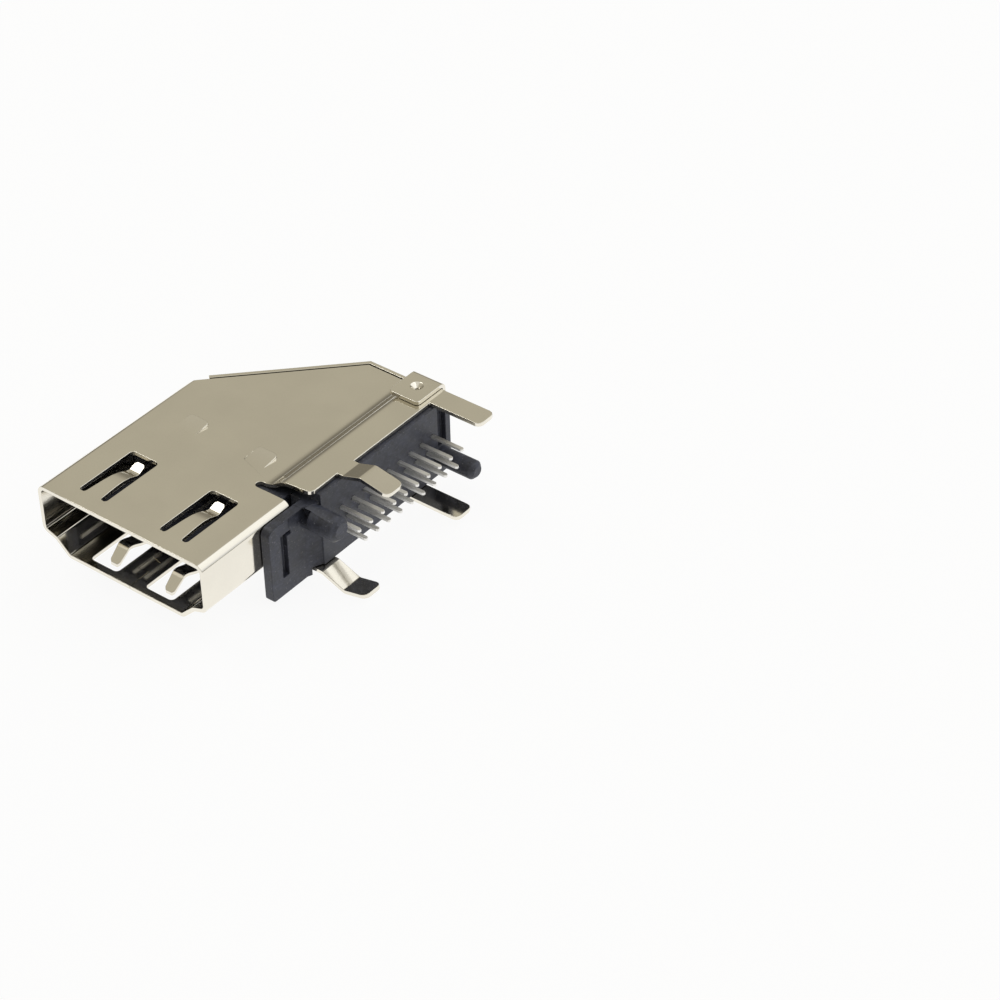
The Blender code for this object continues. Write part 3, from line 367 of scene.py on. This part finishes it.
class StageSettings(bpy.types.PropertyGroup):
    """Floor, light and camera."""

    floor_colour: FloatVectorProperty(name="Floor colour", description="Tint of the pale floor",
                                      subtype="COLOR", default=(0.93, 0.93, 0.92), min=0.0, max=1.0)
    backlight: FloatProperty(name="Backlight", description="Share of plain white in the floor as it is seen",
                             default=0.92, min=0.0, max=1.0)
    reflected: FloatProperty(name="Reflected white", description="Brightness of the floor in reflections",
                             default=1.2, min=0.0)
    floor_reach: FloatProperty(name="Floor reach", description="Half width of the floor", default=1.5,
                               min=0.1, subtype="DISTANCE", unit="LENGTH")
    lens: FloatProperty(name="Lens", description="Focal length on a 36 mm sensor, in millimetres",
                        default=102.284, min=1.0)
    surround: FloatProperty(name="Surround strength", description="Brightness of the studio surround",
                            default=1.0, min=0.0)
    floor_rows: IntProperty(name="Floor rows", description="Rows of the floor's grid", default=12, min=2)


# Operators

class SOCKET_OT_shell(bpy.types.Operator):
    """Replace the shell's plain solid by one with rounded edges and nickel plate"""

    bl_idname = "socket.shell"
    bl_label = "Plated shell"

    def execute(self, context):
        settings = context.scene.socket_shell
        piece = rounded_copy("shell", "plated_shell", nickel_finish(settings), settings.edge, SEAM_BOX)
        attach(piece, "root")
        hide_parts("shell")
        return {"FINISHED"}


class SOCKET_OT_mouldings(bpy.types.Operator):
    """Replace the two mouldings' plain solids by ones with rounded edges and a grained black skin"""

    bl_idname = "socket.mouldings"
    bl_label = "Black mouldings"

    def execute(self, context):
        settings = context.scene.socket_mouldings
        mouldings = (("contact_housing", "housing_plastic", 0.3), ("base_plate", "base_plastic", 0.7))
        for node, slot, speck in mouldings:
            material = moulding_finish("grained_" + slot, settings, speck)
            piece = rounded_copy(node, "moulded_" + node, material, settings.edge, TAIL_BOX)
            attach(piece, "root")
            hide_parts(node)
        return {"FINISHED"}


class SOCKET_OT_contacts(bpy.types.Operator):
    """Give the contacts their bright tin plate"""

    bl_idname = "socket.contacts"
    bl_label = "Contacts"

    def execute(self, context):
        material = tin_finish(context.scene.socket_contacts)
        for name in CONTACTS:
            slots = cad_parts[name].data.materials
            slots.clear()
            slots.append(material)
        return {"FINISHED"}


def studio_surround(strength):
    """World lit by elevation: white below and above, with a dark band just over the horizon."""
    world = bpy.data.worlds.new("studio_surround")
    finish = Finish(world)
    direction = finish.node("ShaderNodeTexCoord", output="Generated")
    height = finish.node("ShaderNodeSeparateXYZ", inputs={"Vector": direction}, output="Z")
    tint = finish.node("ShaderNodeValToRGB", {"stops": SURROUND}, {"Fac": height * 0.5 + 0.5})
    light = finish.node("ShaderNodeBackground", inputs={"Color": tint, "Strength": strength})
    finish.node("ShaderNodeOutputWorld", inputs={"Surface": light})
    return world


def soft_light(name, azimuth, elevation, size, distance, power, colour):
    """Square area light that looks at the target from an azimuth (0 is +Y, 90 is +X) and an elevation."""
    data = bpy.data.lights.new(name, "AREA")
    data.shape = "SQUARE"
    data.size = size
    data.energy = power
    data.color = colour
    lamp = bpy.data.objects.new(name, data)
    bpy.context.scene.collection.objects.link(lamp)
    turn, rise = math.radians(azimuth), math.radians(elevation)
    aim = Vector((math.sin(turn) * math.cos(rise), math.cos(turn) * math.cos(rise), math.sin(rise)))
    lamp.location = Vector(LIGHT_TARGET) + aim * distance
    lamp.rotation_euler = aim.to_track_quat("Z", "Y").to_euler()


def pale_floor(settings):
    """White paper floor, whose glow in reflections fades out between the near and the far distance."""
    material, finish = new_material("pale_floor")
    mottle = finish.noise((0.02, 0.02, 0.02), detail=2.0)
    pale = tuple(settings.floor_colour)
    tint = finish.blend(mottle, tuple(share * 0.99 for share in pale), pale)
    shader = finish.node("ShaderNodeBsdfPrincipled", inputs={"Base Color": tint, "Roughness": 0.6})
    away = finish.node("ShaderNodeVectorMath", {"operation": "LENGTH"}, {0: finish.place((1.0, 1.0, 0.0))},
                       output="Value")
    near = 1.0 - away.between(NEAR_FLOOR, FAR_FLOOR)
    for ray, strength, share in (("Is Camera Ray", 0.99, 1.0), ("Is Glossy Ray", settings.reflected, near)):
        glow = finish.node("ShaderNodeEmission", inputs={"Color": (1.0, 1.0, 1.0), "Strength": strength})
        white = finish.node("ShaderNodeLightPath", output=ray) * settings.backlight * share
        shader = finish.node("ShaderNodeMixShader", inputs={0: white, 1: shader, 2: glow})
    finish.node("ShaderNodeOutputMaterial", inputs={"Surface": shader})
    steps = np.linspace(-settings.floor_reach, settings.floor_reach, settings.floor_rows)
    across, along = np.meshgrid(steps, steps)
    return grid_mesh("floor", np.stack([across, along, np.zeros_like(across)], axis=-1), material)


def photo_camera(lens):
    """Camera where the photograph was taken from."""
    data = bpy.data.cameras.new("camera")
    data.lens = lens
    data.sensor_width = 36.0
    data.clip_start = 0.01
    camera = bpy.data.objects.new("camera", data)
    bpy.context.scene.collection.objects.link(camera)
    camera.location = Vector(CAMERA_PLACE) * MM
    camera.rotation_euler = Euler([math.radians(angle) for angle in CAMERA_TURN])
    return camera


class SOCKET_OT_stage(bpy.types.Operator):
    """Add the pale floor, the soft studio light and the camera at the photograph's angle"""

    bl_idname = "socket.stage"
    bl_label = "Stage"

    def execute(self, context):
        scene = context.scene
        settings = scene.socket_stage
        pale_floor(settings)
        scene.world = studio_surround(settings.surround)
        for light in LIGHTS:
            soft_light(*light)
        scene.camera = photo_camera(settings.lens)
        scene.view_settings.view_transform = "Standard"
        return {"FINISHED"}


class SOCKET_PT_panel(bpy.types.Panel):
    """Sidebar panel that lists the socket's pieces"""

    bl_idname = "SOCKET_PT_panel"
    bl_label = "Video socket"
    bl_space_type = "VIEW_3D"
    bl_region_type = "UI"
    bl_category = "Socket"

    def draw(self, context):
        groups = (("socket_shell", SOCKET_OT_shell), ("socket_mouldings", SOCKET_OT_mouldings),
                  ("socket_contacts", SOCKET_OT_contacts), ("socket_stage", SOCKET_OT_stage))
        for group, operator in groups:
            box = self.layout.box()
            settings = getattr(context.scene, group)
            for name in settings.__annotations__:
                box.prop(settings, name)
            box.operator(operator.bl_idname)


SETTINGS = {
    "socket_shell": ShellSettings,
    "socket_mouldings": MouldingSettings,
    "socket_contacts": ContactSettings,
    "socket_stage": StageSettings,
}
OTHERS = (SOCKET_OT_shell, SOCKET_OT_mouldings, SOCKET_OT_contacts, SOCKET_OT_stage, SOCKET_PT_panel)


def register():
    for item in (*SETTINGS.values(), *OTHERS):
        bpy.utils.register_class(item)
    for name, group in SETTINGS.items():
        setattr(bpy.types.Scene, name, PointerProperty(type=group))


def unregister():
    for name in SETTINGS:
        delattr(bpy.types.Scene, name)
    for item in reversed((*SETTINGS.values(), *OTHERS)):
        bpy.utils.unregister_class(item)


def main():
    """Dress the socket."""
    register()
    bpy.ops.socket.shell()
    bpy.ops.socket.mouldings()
    bpy.ops.socket.contacts()
    bpy.ops.socket.stage()


if __name__ == "__main__":
    main()
